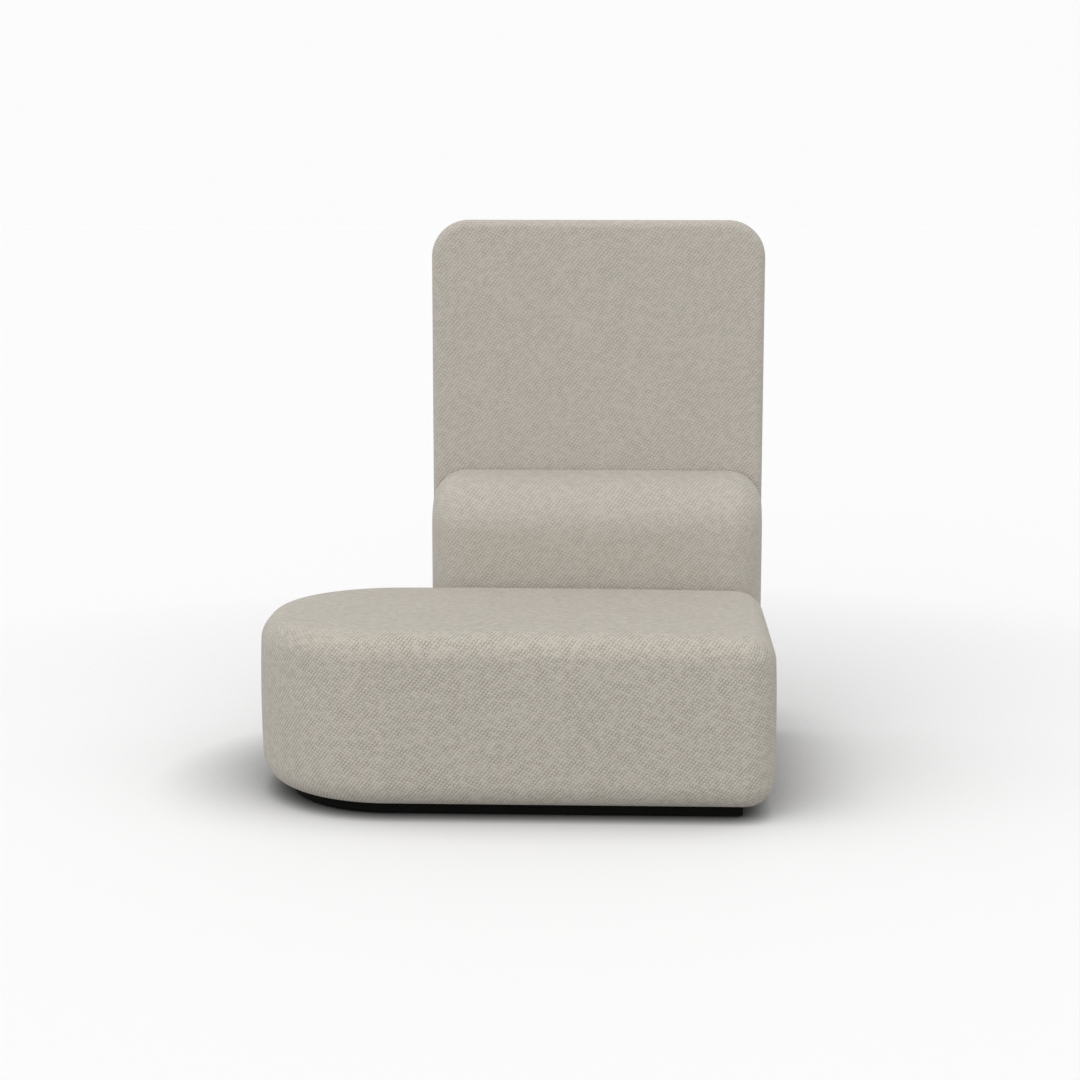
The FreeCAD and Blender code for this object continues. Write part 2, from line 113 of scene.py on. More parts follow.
# Weave: how strongly each of its waves shows, and the range of their sum
row_weight = 0.50
yarn_weight = 0.31
leaning_weight = 0.27
crossing_weight = 0.12
half_row_weight = 0.07
leaning_shift = 0.03
lowest_sum = -0.8
highest_sum = 1.2

# Weave: gaps between the yarns, painted darker as shade, loose fibres and slow drift of the rows
gap_power = 2.4
least_gap = 0.45
gap_spread = 1.1
fibre_rate = 900
fibre_strength = 0.4
fibre_relief = 0.35
drift_rate = 45
drift_size = 0.0016
weave_relief = 0.0012
cloud_rate = 7
cloud_lift = 1.05
seat_fineness = 1.03
back_fineness = 1.0

# A point of a cover: its place, two positions on the cloth, and how much of the second one it uses
Spot = namedtuple("Spot", "place wrap flat share")


# Curves and meshes
def smooth_step(value, low, high):
    t = min(max((value - low) / (high - low), 0.0), 1.0)
    return t * t * (3 - 2 * t)


def divisions(size, step):
    return max(2, math.ceil(size / step))


def cloth_length(start, end):
    """Cloth between two points of a profile, laid on straight from the side or from above."""
    return max(abs(end.x - start.x), abs(end.y - start.y))


def rounded_outline(low, high, radii):
    """Points, outward normals and lengths round a rectangle with round corners.

    It starts in the middle of the far side and goes by the low-x side, so that along the near side
    the length grows with x. Radii: near low-x, near high-x, far high-x, far low-x.
    """
    near_low, near_high, far_high, far_low = radii
    (x0, y0), (x1, y1) = low, high
    middle = (x0 + x1) / 2
    corners = [
        (Vector((x0 + far_low, y1 - far_low)), far_low, 90),
        (Vector((x0 + near_low, y0 + near_low)), near_low, 180),
        (Vector((x1 - near_high, y0 + near_high)), near_high, 270),
        (Vector((x1 - far_high, y1 - far_high)), far_high, 360),
    ]
    points = [Vector((middle, y1))]
    normals = [Vector((0, 1))]

    def line_to(end, normal):
        start = points[-1]
        count = divisions((end - start).length, line_step)
        for number in range(1, count + 1):
            points.append(start.lerp(end, number / count))
            normals.append(normal)

    for centre, radius, first in corners:
        start_normal = Vector((math.cos(math.radians(first)), math.sin(math.radians(first))))
        line_to(centre + radius * start_normal, start_normal)
        count = divisions(math.pi / 2, arc_step)
        for number in range(1, count + 1):
            angle = math.radians(first) + math.pi / 2 * number / count
            normal = Vector((math.cos(angle), math.sin(angle)))
            points.append(centre + radius * normal)
            normals.append(normal)
    line_to(points[0], normals[0])
    points.pop()
    normals.pop()
    lengths = [0.0]
    for number in range(1, len(points)):
        lengths.append(lengths[-1] + (points[number] - points[number - 1]).length)
    around = lengths[-1] + (points[0] - points[-1]).length
    return points, normals, lengths, around


def cover_mesh(name, rings, first_middle, last_middle, turn):
    """A closed cover from rings of spots, with a fan at each end.

    Turn is the cloth's step at the seam.
    """
    spots = [spot for ring in rings for spot in ring] + [first_middle, last_middle]
    count = len(rings[0])
    faces = []
    shifts = []

    def add_face(corners):
        faces.append([corner for corner, shift in corners])
        shifts.append([shift for corner, shift in corners])

    for number in range(len(rings) - 1):
        for place in range(count):
            after = (place + 1) % count
            seam = 1 if after == 0 else 0
            this_ring = number * count
            next_ring = this_ring + count
            add_face(
                [
                    (this_ring + place, 0),
                    (this_ring + after, seam),
                    (next_ring + after, seam),
                    (next_ring + place, 0),
                ]
            )
    last_ring = (len(rings) - 1) * count
    for place in range(count):
        after = (place + 1) % count
        seam = 1 if after == 0 else 0
        add_face([(after, seam), (place, 0), (len(spots) - 2, 0)])
        add_face([(last_ring + place, 0), (last_ring + after, seam), (len(spots) - 1, 0)])

    mesh = bpy.data.meshes.new(name)
    mesh.from_pydata([spot.place for spot in spots], [], faces)
    wrap = mesh.uv_layers.new(name="wrap")
    flat = mesh.uv_layers.new(name="flat")
    corner = 0
    for face, face_shifts in zip(faces, shifts):
        for vertex, shift in zip(face, face_shifts):
            wrap.data[corner].uv = spots[vertex].wrap + shift * turn
            flat.data[corner].uv = spots[vertex].flat
            corner += 1
    share = mesh.attributes.new("flat_share", "FLOAT", "POINT")
    share.data.foreach_set("value", [spot.share for spot in spots])
    mesh.polygons.foreach_set("use_smooth", [True] * len(mesh.polygons))
    mesh.update()
    piece = bpy.data.objects.new(name, mesh)
    bpy.context.scene.collection.objects.link(piece)
    return piece


# Seat block cover
def seat_profile():
    """Steps up the side, with the length of cloth up to each.

    A step is (inset, share of the way from the foot to the rim, rise on the rim, length).
    """
    side = seat_height - seat_low.z - 2 * seat_rim
    quarter = divisions(math.pi / 2, rim_arc_step)
    upright = divisions(side, line_step)

    def rim_step(angle, share, rise):
        return (seat_bulge + seat_rim * (1 - math.cos(angle)), share, rise * math.sin(angle))

    steps = []
    for number in range(quarter):
        angle = math.pi / 2 * (1 - number / quarter)
        steps.append(rim_step(angle, 0.0, -seat_rim))
    for number in range(upright + 1):
        share = number / upright
        steps.append((seat_bulge * (2 * share - 1) ** 2, share, 0.0))
    for number in range(1, quarter + 1):
        angle = math.pi / 2 * number / quarter
        steps.append(rim_step(angle, 1.0, seat_rim))
    lengths = [0.0]
    for before, after in zip(steps, steps[1:]):
        start = Vector((before[0], before[1] * side + before[2]))
        end = Vector((after[0], after[1] * side + after[2]))
        lengths.append(lengths[-1] + cloth_length(start, end))
    return [(*step, length) for step, length in zip(steps, lengths)]


def seat_top(x, y):
    """Height of the domed top, which leans back."""
    middle = (seat_low + seat_high) / 2
    reach = (seat_high - seat_low).xy.length / 2
    dome = seat_crown * ((x - middle.x) ** 2 + (y - middle.y) ** 2) / reach**2
    return seat_height - math.tan(seat_lean) * (y - middle.y) - dome


def make_seat_cover():
    radii = [seat_front_left, seat_front_right, seat_rear_right, seat_rear_left]
    points, normals, lengths, around = rounded_outline(seat_low.xy, seat_high.xy, radii)
    middle = ((seat_low + seat_high) / 2).xy
    profile = seat_profile()
    rim_length = profile[-1][3]
    foot = seat_low.z + hem_lift
    front_rim = seat_low.y + seat_bulge + seat_rim
    front_middle = Vector((middle.x, seat_low.y))
    front = min(range(len(points)), key=lambda i: (points[i] - front_middle).length)
    start = points[front].x - lengths[front]

    def flat_of(place):
        return Vector((place.x, rim_length + place.y - front_rim))

    rings = []
    for inset, side_share, rise, length in profile:
        ring = []
        for point, normal, around_length in zip(points, normals, lengths):
            rim = point - normal * (seat_rim + seat_bulge)
            top = seat_top(rim.x, rim.y)
            low = foot + seat_rim
            high = top - seat_rim
            plan = point - normal * inset
            height = low + (high - low) * side_share + rise
            wrap = Vector((start + around_length, length))
            flat = flat_of(rim) + normal * (rim_length - length)
            share = smooth_step(length, rim_length - seat_turn_start, rim_length - seat_turn_end)
            ring.append(Spot(Vector((*plan, height)), wrap, flat, share))
        rings.append(ring)
    for number in range(1, fill_rings):
        scale = 1 - number / fill_rings
        ring = []
        for point, normal, around_length in zip(points, normals, lengths):
            rim = point - normal * (seat_rim + seat_bulge)
            plan = middle + (rim - middle) * scale
            place = Vector((*plan, seat_top(plan.x, plan.y)))
            wrap = Vector((start + around_length, rim_length))
            ring.append(Spot(place, wrap, flat_of(plan), 1.0))
        rings.append(ring)
    under = Spot(Vector((*middle, foot)), Vector((0, 0)), Vector((0, 0)), 0.0)
    crown = Spot(Vector((*middle, seat_height)), flat_of(middle), flat_of(middle), 1.0)
    return cover_mesh("seat_upholstery", rings, under, crown, Vector((around, 0)))


# Bolster cover
def bolster_section(inset, foot_inset, rear_inset):
    """The side profile, drawn in, as (y, z) points.

    It runs by the underside, the front, the round edge, the domed top and the rear.
    """
    front = bolster_low.y
    rear = panel_low.y - rear_inset
    foot = bolster_low.z + hem_lift + foot_inset
    depth = panel_low.y - bolster_low.y
    run = depth - bolster_edge * (1 - math.sin(slope_at_edge))
    dome = run / (math.sin(slope_at_edge) - math.sin(slope_at_panel))
    top = bolster_high.z
    drop = dome * (math.cos(slope_at_panel) - math.cos(slope_at_edge))
    edge_top = top - drop
    edge_middle = Vector((front + bolster_edge, edge_top - bolster_edge * math.cos(slope_at_edge)))
    lean = Vector((-math.sin(slope_at_edge), math.cos(slope_at_edge)))
    dome_middle = edge_middle - lean * (dome - bolster_edge)
    tuck = max(bolster_tuck - rear_inset, least_tuck)
    foot_radius = max(bolster_foot - foot_inset, least_foot)

    def arc(middle, radius, first, last, count):
        """Points on an arc; angles are from straight up, towards the front."""
        angles = [first + (last - first) * number / count for number in range(count + 1)]
        return [middle + radius * Vector((-math.sin(angle), math.cos(angle))) for angle in angles]

    def line(start, end, count):
        return [start.lerp(end, number / count) for number in range(1, count)]

    dome_radius = dome - inset
    tuck_y = rear - tuck
    last_slope = math.asin((dome_middle.x - tuck_y) / (dome_radius - tuck))
    last_lean = Vector((-math.sin(last_slope), math.cos(last_slope)))
    tuck_middle = dome_middle + (dome_radius - tuck) * last_lean
    under_rear = Vector((tuck_y, foot + tuck))
    under_front = Vector((front + inset + foot_radius, foot + foot_radius))
    pieces = [
        arc(under_rear, tuck, math.radians(270), math.radians(180), under_tuck_steps),
        arc(under_front, foot_radius, math.radians(180), math.radians(90), foot_steps),
        arc(edge_middle, bolster_edge - inset, math.radians(90), slope_at_edge, edge_steps),
        arc(dome_middle, dome_radius, slope_at_edge, last_slope, dome_steps),
        arc(tuck_middle, tuck, last_slope, math.radians(-90), top_tuck_steps),
    ]
    section = list(pieces[0])
    section += line(pieces[0][-1], pieces[1][0], under_line_steps) + pieces[1]
    section += line(pieces[1][-1], pieces[2][0], front_line_steps) + pieces[2]
    section += pieces[3][1:] + pieces[4][1:]
    section += line(section[-1], section[0], rear_line_steps)
    return section


def make_bolster_cover():
    left = bolster_low.x
    right = bolster_high.x
    quarter = divisions(math.pi / 2, rim_arc_step)
    length = right - left - 2 * bolster_end
    full = bolster_section(0, 0, 0)
    lengths = [0.0]
    for before, after in zip(full, full[1:]):
        lengths.append(lengths[-1] + cloth_length(before, after))
    around = lengths[-1] + cloth_length(full[-1], full[0])

    def drawn_in(gap, radius):
        """How far a round end of that radius is drawn in, at a distance from the end."""
        return radius - math.sqrt(radius**2 - max(radius - gap, 0) ** 2)

    def ring(x, gap, across, share):
        section = bolster_section(
            drawn_in(gap, bolster_end), drawn_in(gap, bolster_foot), drawn_in(gap, bolster_tuck)
        )
        return [
            Spot(Vector((x, *point)), Vector((across, size)), Vector(point), share)
            for point, size in zip(section, lengths)
        ]

    def end_rings(x_end, toward, x_start):
        """Rings over one round end, from its flat cap to the straight length."""
        rings = []
        for number in range(quarter):
            angle = math.pi / 2 * number / quarter
            gap = bolster_end * (1 - math.cos(angle))
            turned = math.pi / 2 - angle
            beyond = bolster_end * turned
            share = smooth_step(turned, bolster_turn_start, bolster_turn_end)
            rings.append(ring(x_end + toward * gap, gap, x_start - toward * beyond, share))
        return rings

    def cap_rings(outer):
        """Rings that fill a flat end, from the middle out."""
        middle = sum((spot.place for spot in outer), Vector()) / len(outer)
        rings = []
        for number in range(1, cap_fill_rings):
            scale = number / cap_fill_rings
            filled = []
            for spot in outer:
                place = middle.lerp(spot.place, scale)
                filled.append(Spot(place, spot.wrap, place.yz, 1.0))
            rings.append(filled)
        return rings, Spot(middle, middle.yz, middle.yz, 1.0)

    left_rings = end_rings(left, 1, left + bolster_end)
    right_rings = end_rings(right, -1, right - bolster_end)
    left_cap, left_middle = cap_rings(left_rings[0])
    right_cap, right_middle = cap_rings(right_rings[0])
    count = divisions(length, line_step)
    straight = []
    for number in range(count + 1):
        x = left + bolster_end + length * number / count
        straight.append(ring(x, bolster_end, x, 0.0))
    rings = left_cap + left_rings + straight + right_rings[::-1] + right_cap[::-1]
    return cover_mesh("bolster_upholstery", rings, left_middle, right_middle, Vector((0, around)))


# Panel cover
def make_panel_cover():
    radii = [panel_foot, panel_foot, panel_corner, panel_corner]
    low = Vector((panel_low.x, panel_low.z + hem_lift))
    high = Vector((panel_high.x, panel_high.z))
    points, normals, _, _ = rounded_outline(low, high, radii)
    middle = (low + high) / 2
    quarter = divisions(math.pi / 2, panel_arc_step)
    depth = panel_high.y - panel_low.y
    steps = []
    for number in range(quarter + 1):
        angle = math.pi / 2 * number / quarter
        steps.append((panel_rim * (1 - math.sin(angle)), panel_rim * (1 - math.cos(angle))))
    for number in range(1, panel_edge_steps):
        steps.append((0.0, panel_rim + (depth - 2 * panel_rim) * number / panel_edge_steps))
    for number in range(quarter + 1):
        angle = math.pi / 2 * number / quarter
        steps.append((panel_rim * (1 - math.cos(angle)), depth - panel_rim * (1 - math.sin(angle))))
    lengths = [0.0]
    for before, after in zip(steps, steps[1:]):
        lengths.append(lengths[-1] + math.hypot(after[0] - before[0], after[1] - before[1]))
    total = lengths[-1]

    def spot(plan, back, wrap, share):
        place = Vector((plan.x, panel_low.y + back, plan.y))
        return Spot(place, wrap, Vector((-plan.x, plan.y)), share)

    def face_rings(back, toward, share):
        """Rings that fill the front or rear face from its middle out, slightly crowned."""
        rings = []
        for number in range(1, fill_rings):
            scale = number / fill_rings
            bow = panel_crown * scale**3 * toward
            ring = []
            for point, normal in zip(points, normals):
                plan = middle + (point - normal * panel_rim - middle) * scale
                ring.append(spot(plan, back + bow, plan, share))
            rings.append(ring)
        return rings

    rim_rings = []
    for (inset, back), length in zip(steps, lengths):
        share = smooth_step(length, total * panel_turn_start, total * panel_turn_end)
        squeeze = panel_crown * (1 - 2 * back / depth)
        ring = []
        for point, normal in zip(points, normals):
            wrap = point - normal * panel_rim + normal * length
            ring.append(spot(point - normal * inset, back + squeeze, wrap, share))
        rim_rings.append(ring)
    rings = face_rings(0, 1, 0.0) + rim_rings + face_rings(depth, -1, 1.0)[::-1]
    front_middle = spot(middle, 0, middle, 0.0)
    rear_middle = spot(middle, depth, middle, 1.0)
    return cover_mesh("panel_upholstery", rings, front_middle, rear_middle, Vector((0, 0)))


# Shader helpers
# Noise keeps mostly between these two levels
noise_low = 0.3
noise_high = 0.7


class Nodes:
    """A node tree with short calls to add and link nodes."""

    def __init__(self, tree):
        self.tree = tree

    def add(self, kind, **settings):
        node = self.tree.nodes.new(kind)
        for name, value in settings.items():
            setattr(node, name, value)
        return node

    def set(self, socket, value):
        """Links an output to a socket, or sets the socket's value."""
        if isinstance(value, bpy.types.NodeSocket):
            self.tree.links.new(value, socket)
        else:
            socket.default_value = value

    def math(self, operation, *values):
        node = self.add("ShaderNodeMath", operation=operation)
        for socket, value in zip(node.inputs, values):
            self.set(socket, value)
        return node.outputs[0]

    def vector(self, operation, first, second=None, scale=None):
        node = self.add("ShaderNodeVectorMath", operation=operation)
        self.set(node.inputs[0], first)
        if second is not None:
            self.set(node.inputs[1], second)
        if scale is not None:
            self.set(node.inputs["Scale"], scale)
        return node.outputs["Value"] if operation == "DOT_PRODUCT" else node.outputs["Vector"]

    def noise(self, place, scale, detail=2.0, output="Fac"):
        node = self.add("ShaderNodeTexNoise")
        self.set(node.inputs["Vector"], place)
        node.inputs["Scale"].default_value = scale
        node.inputs["Detail"].default_value = detail
        return node.outputs[output]

    def mix(self, share, first, second):
        node = self.add("ShaderNodeMix", data_type="RGBA")
        colours = [socket for socket in node.inputs if socket.type == "RGBA"]
        self.set(node.inputs["Factor"], share)
        self.set(colours[0], first)
        self.set(colours[1], second)
        return next(socket for socket in node.outputs if socket.type == "RGBA")

    def remap(self, value, low, high, new_low, new_high):
        node = self.add("ShaderNodeMapRange")
        for socket, setting in zip(node.inputs, (value, low, high, new_low, new_high)):
            self.set(socket, setting)
        return node.outputs[0]

    def spread(self, noise, new_low, new_high):
        """Noise, from its usual low and high levels to a new range."""
        return self.remap(noise, noise_low, noise_high, new_low, new_high)


def shader_group(name, inputs, outputs):
    """An empty node group with named sockets, given as name and socket type."""
    group = bpy.data.node_groups.new(name, "ShaderNodeTree")
    for socket, kind in inputs.items():
        group.interface.new_socket(socket, in_out="INPUT", socket_type=kind)
    for socket, kind in outputs.items():
        group.interface.new_socket(socket, in_out="OUTPUT", socket_type=kind)
    nodes = Nodes(group)
    return group, nodes, nodes.add("NodeGroupInput").outputs, nodes.add("NodeGroupOutput").inputs


def new_material(name, **constants):
    """A material with a Principled shader whose plain sockets are set by name."""
    material = bpy.data.materials.new(name)
    material.use_nodes = True
    nodes = Nodes(material.node_tree)
    shader = material.node_tree.nodes["Principled BSDF"]
    for socket, value in constants.items():
        shader.inputs[socket.replace("_", " ")].default_value = value
    return material, nodes, shader.inputs


def bumped(nodes, height, distance):
    node = nodes.add("ShaderNodeBump")
    node.inputs["Strength"].default_value = 1.0
    node.inputs["Distance"].default_value = distance
    nodes.set(node.inputs["Height"], height)
    return node.outputs["Normal"]


def colour(red, green, blue):
    """A colour written as 0 to 255 on the screen, as the shader's linear numbers."""

    def linear(value):
        value = value / 255
        return value / 12.92 if value <= 0.04045 else ((value + 0.055) / 1.055) ** 2.4

    return (linear(red), linear(green), linear(blue), 1.0)


# Weave: round yarn crossings in slanting rows
def weave_group():
    inputs = {"Cloth": "NodeSocketVector"}
    outputs = {"Yarn": "NodeSocketFloat", "Height": "NodeSocketFloat"}
    group, nodes, given, result = shader_group("slanted weave", inputs, outputs)
    area = across_rows.x * along_row.y - across_rows.y * along_row.x
    row_rate = (along_row.y / area, -along_row.x / area, 0)
    yarn_rate = (-across_rows.y / area, across_rows.x / area, 0)

    wander = nodes.noise(given["Cloth"], scale=drift_rate, detail=2, output="Color")
    wander = nodes.vector("SUBTRACT", wander, (0.5, 0.5, 0.5))
    drift = nodes.vector("SCALE", wander, scale=drift_size)
    cloth = nodes.vector("ADD", given["Cloth"], drift)
    row = nodes.vector("DOT_PRODUCT", cloth, row_rate)
    yarn = nodes.vector("DOT_PRODUCT", cloth, yarn_rate)

    def wave(turns):
        return nodes.math("COSINE", nodes.math("MULTIPLY", turns, 2 * math.pi))

    half_row = nodes.math("MULTIPLY", row, 0.5)
    leaning = nodes.math("ADD", nodes.math("SUBTRACT", yarn, row), leaning_shift)
    parts = [
        (wave(row), row_weight),
        (wave(yarn), yarn_weight),
        (wave(leaning), leaning_weight),
        (wave(nodes.math("ADD", yarn, half_row)), crossing_weight),
        (wave(half_row), half_row_weight),
    ]
    total = 0.0
    for part, weight in parts:
        total = nodes.math("MULTIPLY_ADD", part, weight, total)
    cell = nodes.add("ShaderNodeCombineXYZ")
    nodes.set(cell.inputs["X"], nodes.math("ROUND", row))
    nodes.set(cell.inputs["Y"], nodes.math("ROUND", yarn))
    chance = nodes.add("ShaderNodeTexWhiteNoise", noise_dimensions="2D")
    nodes.set(chance.inputs["Vector"], cell.outputs["Vector"])
    uneven = nodes.math("MULTIPLY_ADD", chance.outputs["Value"], gap_spread, least_gap)
    fuzz = nodes.noise(cloth, scale=fibre_rate, detail=3)
    fibres = nodes.math("MULTIPLY_ADD", fuzz, fibre_strength, -fibre_strength / 2)
    raised = nodes.remap(total, lowest_sum, highest_sum, 0, 1)
    # Painted shade: the Yarn value drops in the gaps between the raised yarns, so the cloth is
    # coloured darker there
    gap = nodes.math("POWER", nodes.math("SUBTRACT", 1.0, raised), gap_power)
    painted_gap_darkening = nodes.math("MULTIPLY", gap, uneven)
    nodes.set(result["Yarn"], nodes.math("ADD", nodes.math("SUBTRACT", 1.0, painted_gap_darkening), fibres))
    nodes.set(result["Height"], nodes.math("MULTIPLY_ADD", fibres, fibre_relief, raised))
    return group


def make_fabric(name, weave, fineness, painted_gap_shade, light):
    """Beige woven cloth, from a darker colour between the yarns, painted shade of the gaps, to the
    colour of their tops.
    """
    material, nodes, shader = new_material(
        name, Sheen_Weight=0.12, Sheen_Roughness=0.6, Specular_IOR_Level=0.25
    )

    def woven(map_name):
        node = nodes.add("ShaderNodeGroup", node_tree=weave)
        cloth = nodes.add("ShaderNodeUVMap", uv_map=map_name).outputs["UV"]
        nodes.set(node.inputs["Cloth"], nodes.vector("SCALE", cloth, scale=fineness))
        return node.outputs

    share = nodes.add("ShaderNodeAttribute", attribute_name="flat_share").outputs["Fac"]
    wrap = woven("wrap")
    flat = woven("flat")

    def either(output):
        node = nodes.add("ShaderNodeMix", data_type="FLOAT")
        nodes.set(node.inputs["Factor"], share)
        nodes.set(node.inputs["A"], wrap[output])
        nodes.set(node.inputs["B"], flat[output])
        return node.outputs["Result"]

    yarn = either("Yarn")
    height = either("Height")
    place = nodes.add("ShaderNodeTexCoord").outputs["Object"]
    cloudy = nodes.noise(place, scale=cloud_rate, detail=3)
    lifted_painted_gap_shade = [min(channel * cloud_lift, 1) for channel in painted_gap_shade]
    lifted_light = [min(channel * cloud_lift, 1) for channel in light]
    gap_shade = nodes.mix(cloudy, painted_gap_shade, lifted_painted_gap_shade)
    yarn_shade = nodes.mix(cloudy, light, lifted_light)
    shade = nodes.mix(yarn, gap_shade, yarn_shade)
    nodes.set(shader["Base Color"], shade)
    nodes.set(shader["Roughness"], nodes.remap(yarn, 0, 1, 0.95, 0.82))
    nodes.set(shader["Normal"], bumped(nodes, height, distance=weave_relief))
    return material


# Finishes of the rigid pieces
def grain_group():
    """Streaks along one direction: stretched noise with slow bends."""
    inputs = {"Place": "NodeSocketVector", "Stretch": "NodeSocketVector"}
    group, nodes, given, result = shader_group("streaks", inputs, {"Streak": "NodeSocketFloat"})
    bend = nodes.noise(given["Place"], scale=3, detail=2, output="Color")
    bend = nodes.vector("SCALE", bend, scale=0.04)
    place = nodes.vector("MULTIPLY", nodes.vector("ADD", given["Place"], bend), given["Stretch"])
    broad = nodes.noise(place, scale=60, detail=3)
    fine = nodes.noise(place, scale=420, detail=2)
    broad_part = nodes.math("MULTIPLY", broad, 0.65)
    nodes.set(result["Streak"], nodes.math("MULTIPLY_ADD", fine, 0.35, broad_part))
    return group


def make_plywood(grain, name, stretch):
    material, nodes, shader = new_material(name, Specular_IOR_Level=0.35)
    node = nodes.add("ShaderNodeGroup", node_tree=grain)
    nodes.set(node.inputs["Place"], nodes.add("ShaderNodeTexCoord").outputs["Object"])
    node.inputs["Stretch"].default_value = stretch
    streak = node.outputs["Streak"]
    pale = colour(222, 196, 152)
    dark = colour(192, 158, 112)
    nodes.set(shader["Base Color"], nodes.mix(nodes.spread(streak, 0, 1), pale, dark))
    nodes.set(shader["Roughness"], nodes.spread(streak, 0.55, 0.7))
    nodes.set(shader["Normal"], bumped(nodes, streak, distance=0.0003))
    return material


def make_plinth_black(grain):
    """Black lacquer over board, with the grain just showing and dull scuffs."""
    material, nodes, shader = new_material("black_lacquer", Specular_IOR_Level=0.06)
    node = nodes.add("ShaderNodeGroup", node_tree=grain)
    place = nodes.add("ShaderNodeTexCoord").outputs["Object"]
    nodes.set(node.inputs["Place"], place)
    node.inputs["Stretch"].default_value = (0.15, 1, 1)
    streak = node.outputs["Streak"]
    scuffs = nodes.noise(place, scale=25, detail=4)
    nodes.set(shader["Base Color"], nodes.mix(streak, colour(8, 8, 7), colour(17, 16, 14)))
    nodes.set(shader["Roughness"], nodes.spread(scuffs, 0.5, 0.7))
    nodes.set(shader["Normal"], bumped(nodes, streak, distance=0.0002))
    return material


def make_foot_plastic():
    """Moulded black plastic with a fine spark grain."""
    material, nodes, shader = new_material("black_plastic", Specular_IOR_Level=0.45)
    place = nodes.add("ShaderNodeTexCoord").outputs["Object"]
    grain = nodes.noise(place, scale=2600, detail=2)
    patches = nodes.noise(place, scale=60, detail=2)
    shade = nodes.mix(patches, colour(24, 24, 24), colour(34, 34, 33))
    nodes.set(shader["Base Color"], shade)
    nodes.set(shader["Roughness"], nodes.spread(grain, 0.42, 0.58))
    nodes.set(shader["Normal"], bumped(nodes, grain, distance=0.00008))
    return material


def make_zinc():
    """Zinc-plated steel with cloudy passivation."""
    material, nodes, shader = new_material("zinc_plate", Metallic=1.0)
    place = nodes.add("ShaderNodeTexCoord").outputs["Object"]
    cloud = nodes.noise(place, scale=180, detail=3)
    grain = nodes.noise(place, scale=900, detail=2)
    nodes.set(shader["Base Color"], nodes.mix(cloud, colour(176, 180, 184), colour(206, 206, 202)))
    nodes.set(shader["Roughness"], nodes.spread(cloud, 0.28, 0.45))
    nodes.set(shader["Normal"], bumped(nodes, grain, distance=0.00004))
    return material


def paint(piece, material):
    piece.data.materials.clear()
    piece.data.materials.append(material)


def paint_frame():
    """Finishes for the CAD pieces that stay."""
    grain = grain_group()
    along_x = make_plywood(grain, "plywood_along", (0.12, 1, 1))
    along_y = make_plywood(grain, "plywood_across", (1, 0.12, 1))
    along_z = make_plywood(grain, "plywood_upright", (1, 1, 0.12))
    lacquer = make_plinth_black(grain)
    plastic = make_foot_plastic()
    zinc = make_zinc()
    fasteners = (
        "panel_bolts",
        "panel_washers",
        "panel_tee_nuts",
        "leveller_inserts",
        "plinth_screws",
    )
    across = (
        "seat_rib_left",
        "seat_rib_middle",
        "seat_rib_right",
        "seat_right_rail",
        "seat_end_deck",
    )
    upright = ("seat_corner_blocks", "panel_core", "back_left_board", "back_right_board")
    for name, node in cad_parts.items():
        if name in fasteners:
            paint(node, zinc)
        elif name.startswith("plinth_"):
            paint(node, lacquer)
        elif name.startswith("foot_"):
            paint(node, plastic)
        elif name in across:
            paint(node, along_y)
        elif name in upright:
            paint(node, along_z)
        else:
            paint(node, along_x)


def dress():
    """The three upholstered covers, in place of the soft layers."""
    weave = weave_group()
    # The first colour of each fabric is painted shade between the yarns, the second the colour of
    # the yarns' tops
    seat_painted_gap_shade = colour(145, 139, 127)
    seat_light = colour(188, 182, 172)
    back_painted_gap_shade = colour(158, 152, 142)
    back_light = colour(187, 181, 172)
    seat_fabric = make_fabric("seat_weave", weave, seat_fineness, seat_painted_gap_shade, seat_light)
    back_fabric = make_fabric("back_weave", weave, back_fineness, back_painted_gap_shade, back_light)
    seat = make_seat_cover()
    seat_layers = (
        "seat_wadding",
        "seat_foam_topper",
        "seat_foam_core",
        "seat_side_foam",
        "seat_webbing",
    )
    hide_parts("seat_cover", *seat_layers)
    bolster = make_bolster_cover()
    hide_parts("bolster_cover", "bolster_wadding", "bolster_foam")
    panel = make_panel_cover()
    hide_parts("panel_cover", "panel_foam_front", "panel_foam_rear", "panel_edge_strip")
    for piece, fabric in ((seat, seat_fabric), (bolster, back_fabric), (panel, back_fabric)):
        paint(piece, fabric)
        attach(piece, "body")


# Floor, light and camera
floor_size = 60.0
camera_place = Vector((0.26415, -5.7275, 1.6051))
camera_tilt = math.radians(90 - 10.08)
camera_turn = math.radians(2.10)
focal_length = 79.45
sensor_width = 36.0
floor_white = (0.862, 0.862, 0.862, 1)
floor_bounce = (0.5, 0.5, 0.5, 1)
sky_light = 0.8
sky_seen = 0.97

# Painted floor shadow, darker near the object, in three parts: the direction that has to be open,
# the reach in metres and the power
painted_floor_shadows = {
    "touching": ((0, -0.447, 0.894), 0.05, 0.55),
    "close": ((0.25, -0.74, 0.62), 0.3, 0.95),
    "wide": ((-0.2, -0.83, 0.52), 2.0, 0.66),
}

# Lamps: tilt from straight down and turn from the front, in degrees, and strength
lamps = {
    "left_lamp": (30, -65, 0.5),
    "right_lamp": (30, 65, 0.4),
    "front_lamp": (77, -20, 0.96),
}
lamp_spread = math.radians(70)


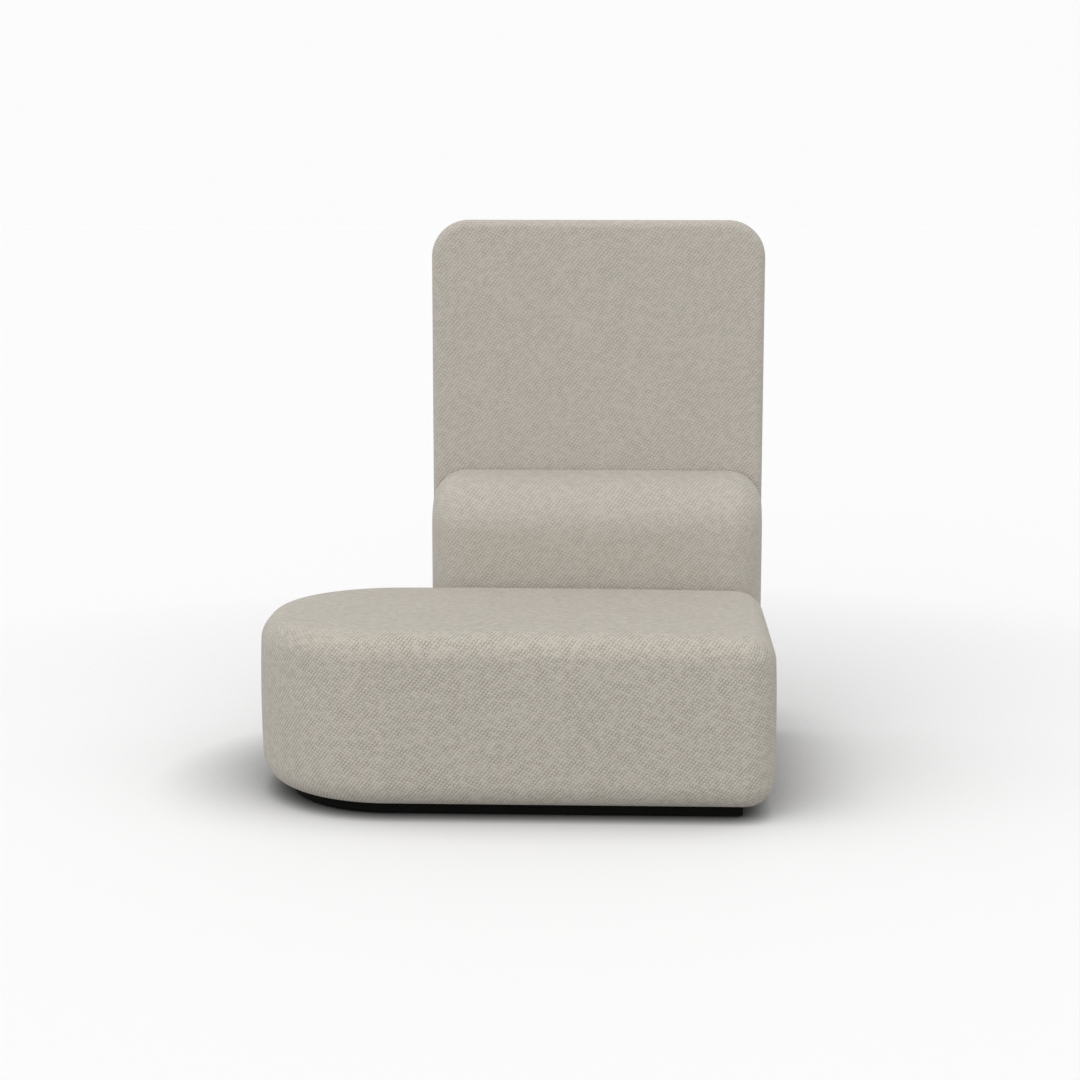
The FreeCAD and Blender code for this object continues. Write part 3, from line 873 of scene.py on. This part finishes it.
def make_floor():
    mesh = bpy.data.meshes.new("floor")
    half = floor_size / 2
    corners = [(-half, -half, 0), (half, -half, 0), (half, half, 0), (-half, half, 0)]
    mesh.from_pydata(corners, [], [(0, 1, 2, 3)])
    floor = bpy.data.objects.new("floor", mesh)
    bpy.context.scene.collection.objects.link(floor)
    material, nodes, shader = new_material("white_floor", Roughness=0.9, Specular_IOR_Level=0.1)
    seen = nodes.add("ShaderNodeLightPath").outputs["Is Camera Ray"]

    def painted_shadow_lightness(direction, reach, power):
        """How open the floor is toward a direction, within a reach; it darkens the floor's colour
        as painted shadow.
        """
        toward = nodes.add("ShaderNodeCombineXYZ")
        for socket, value in zip(toward.inputs, direction):
            socket.default_value = value
        open_sky = nodes.add("ShaderNodeAmbientOcclusion", samples=8)
        open_sky.inputs["Distance"].default_value = reach
        nodes.set(open_sky.inputs["Normal"], toward.outputs["Vector"])
        return nodes.math("POWER", open_sky.outputs["AO"], power)

    # Painted shadow: the floor's white is darkened near the object by the product of these three
    touching, close, wide = (painted_shadow_lightness(*shade) for shade in painted_floor_shadows.values())
    shade = nodes.math("MULTIPLY", touching, nodes.math("MULTIPLY", close, wide))
    white = nodes.mix(shade, (0, 0, 0, 1), floor_white)
    nodes.set(shader["Base Color"], nodes.mix(seen, floor_bounce, white))
    paint(floor, material)


def make_light():
    """White surroundings, two wide soft lamps from above and one from the front."""
    world = bpy.data.worlds.new("studio")
    bpy.context.scene.world = world
    world.use_nodes = True
    nodes = Nodes(world.node_tree)
    background = world.node_tree.nodes["Background"]
    path = nodes.add("ShaderNodeLightPath").outputs
    seen = nodes.math("MAXIMUM", path["Is Camera Ray"], path["Is Glossy Ray"])
    seen = nodes.math("MAXIMUM", seen, path["Is Transmission Ray"])
    background.inputs["Color"].default_value = (1, 1, 1, 1)
    nodes.set(background.inputs["Strength"], nodes.remap(seen, 0, 1, sky_light, sky_seen))
    for name, (tilt, turn, strength) in lamps.items():
        lamp = bpy.data.lights.new(name, "SUN")
        lamp.energy = strength
        lamp.angle = lamp_spread
        holder = bpy.data.objects.new(name, lamp)
        holder.rotation_euler = (math.radians(tilt), 0, math.radians(turn))
        bpy.context.scene.collection.objects.link(holder)


def make_camera():
    camera = bpy.data.cameras.new("camera")
    camera.lens = focal_length
    camera.sensor_width = sensor_width
    holder = bpy.data.objects.new("camera", camera)
    holder.location = camera_place
    holder.rotation_euler = (camera_tilt, 0, camera_turn)
    bpy.context.scene.collection.objects.link(holder)
    bpy.context.scene.camera = holder


paint_frame()
dress()
make_floor()
make_light()
make_camera()
bpy.context.scene.view_settings.view_transform = "Standard"
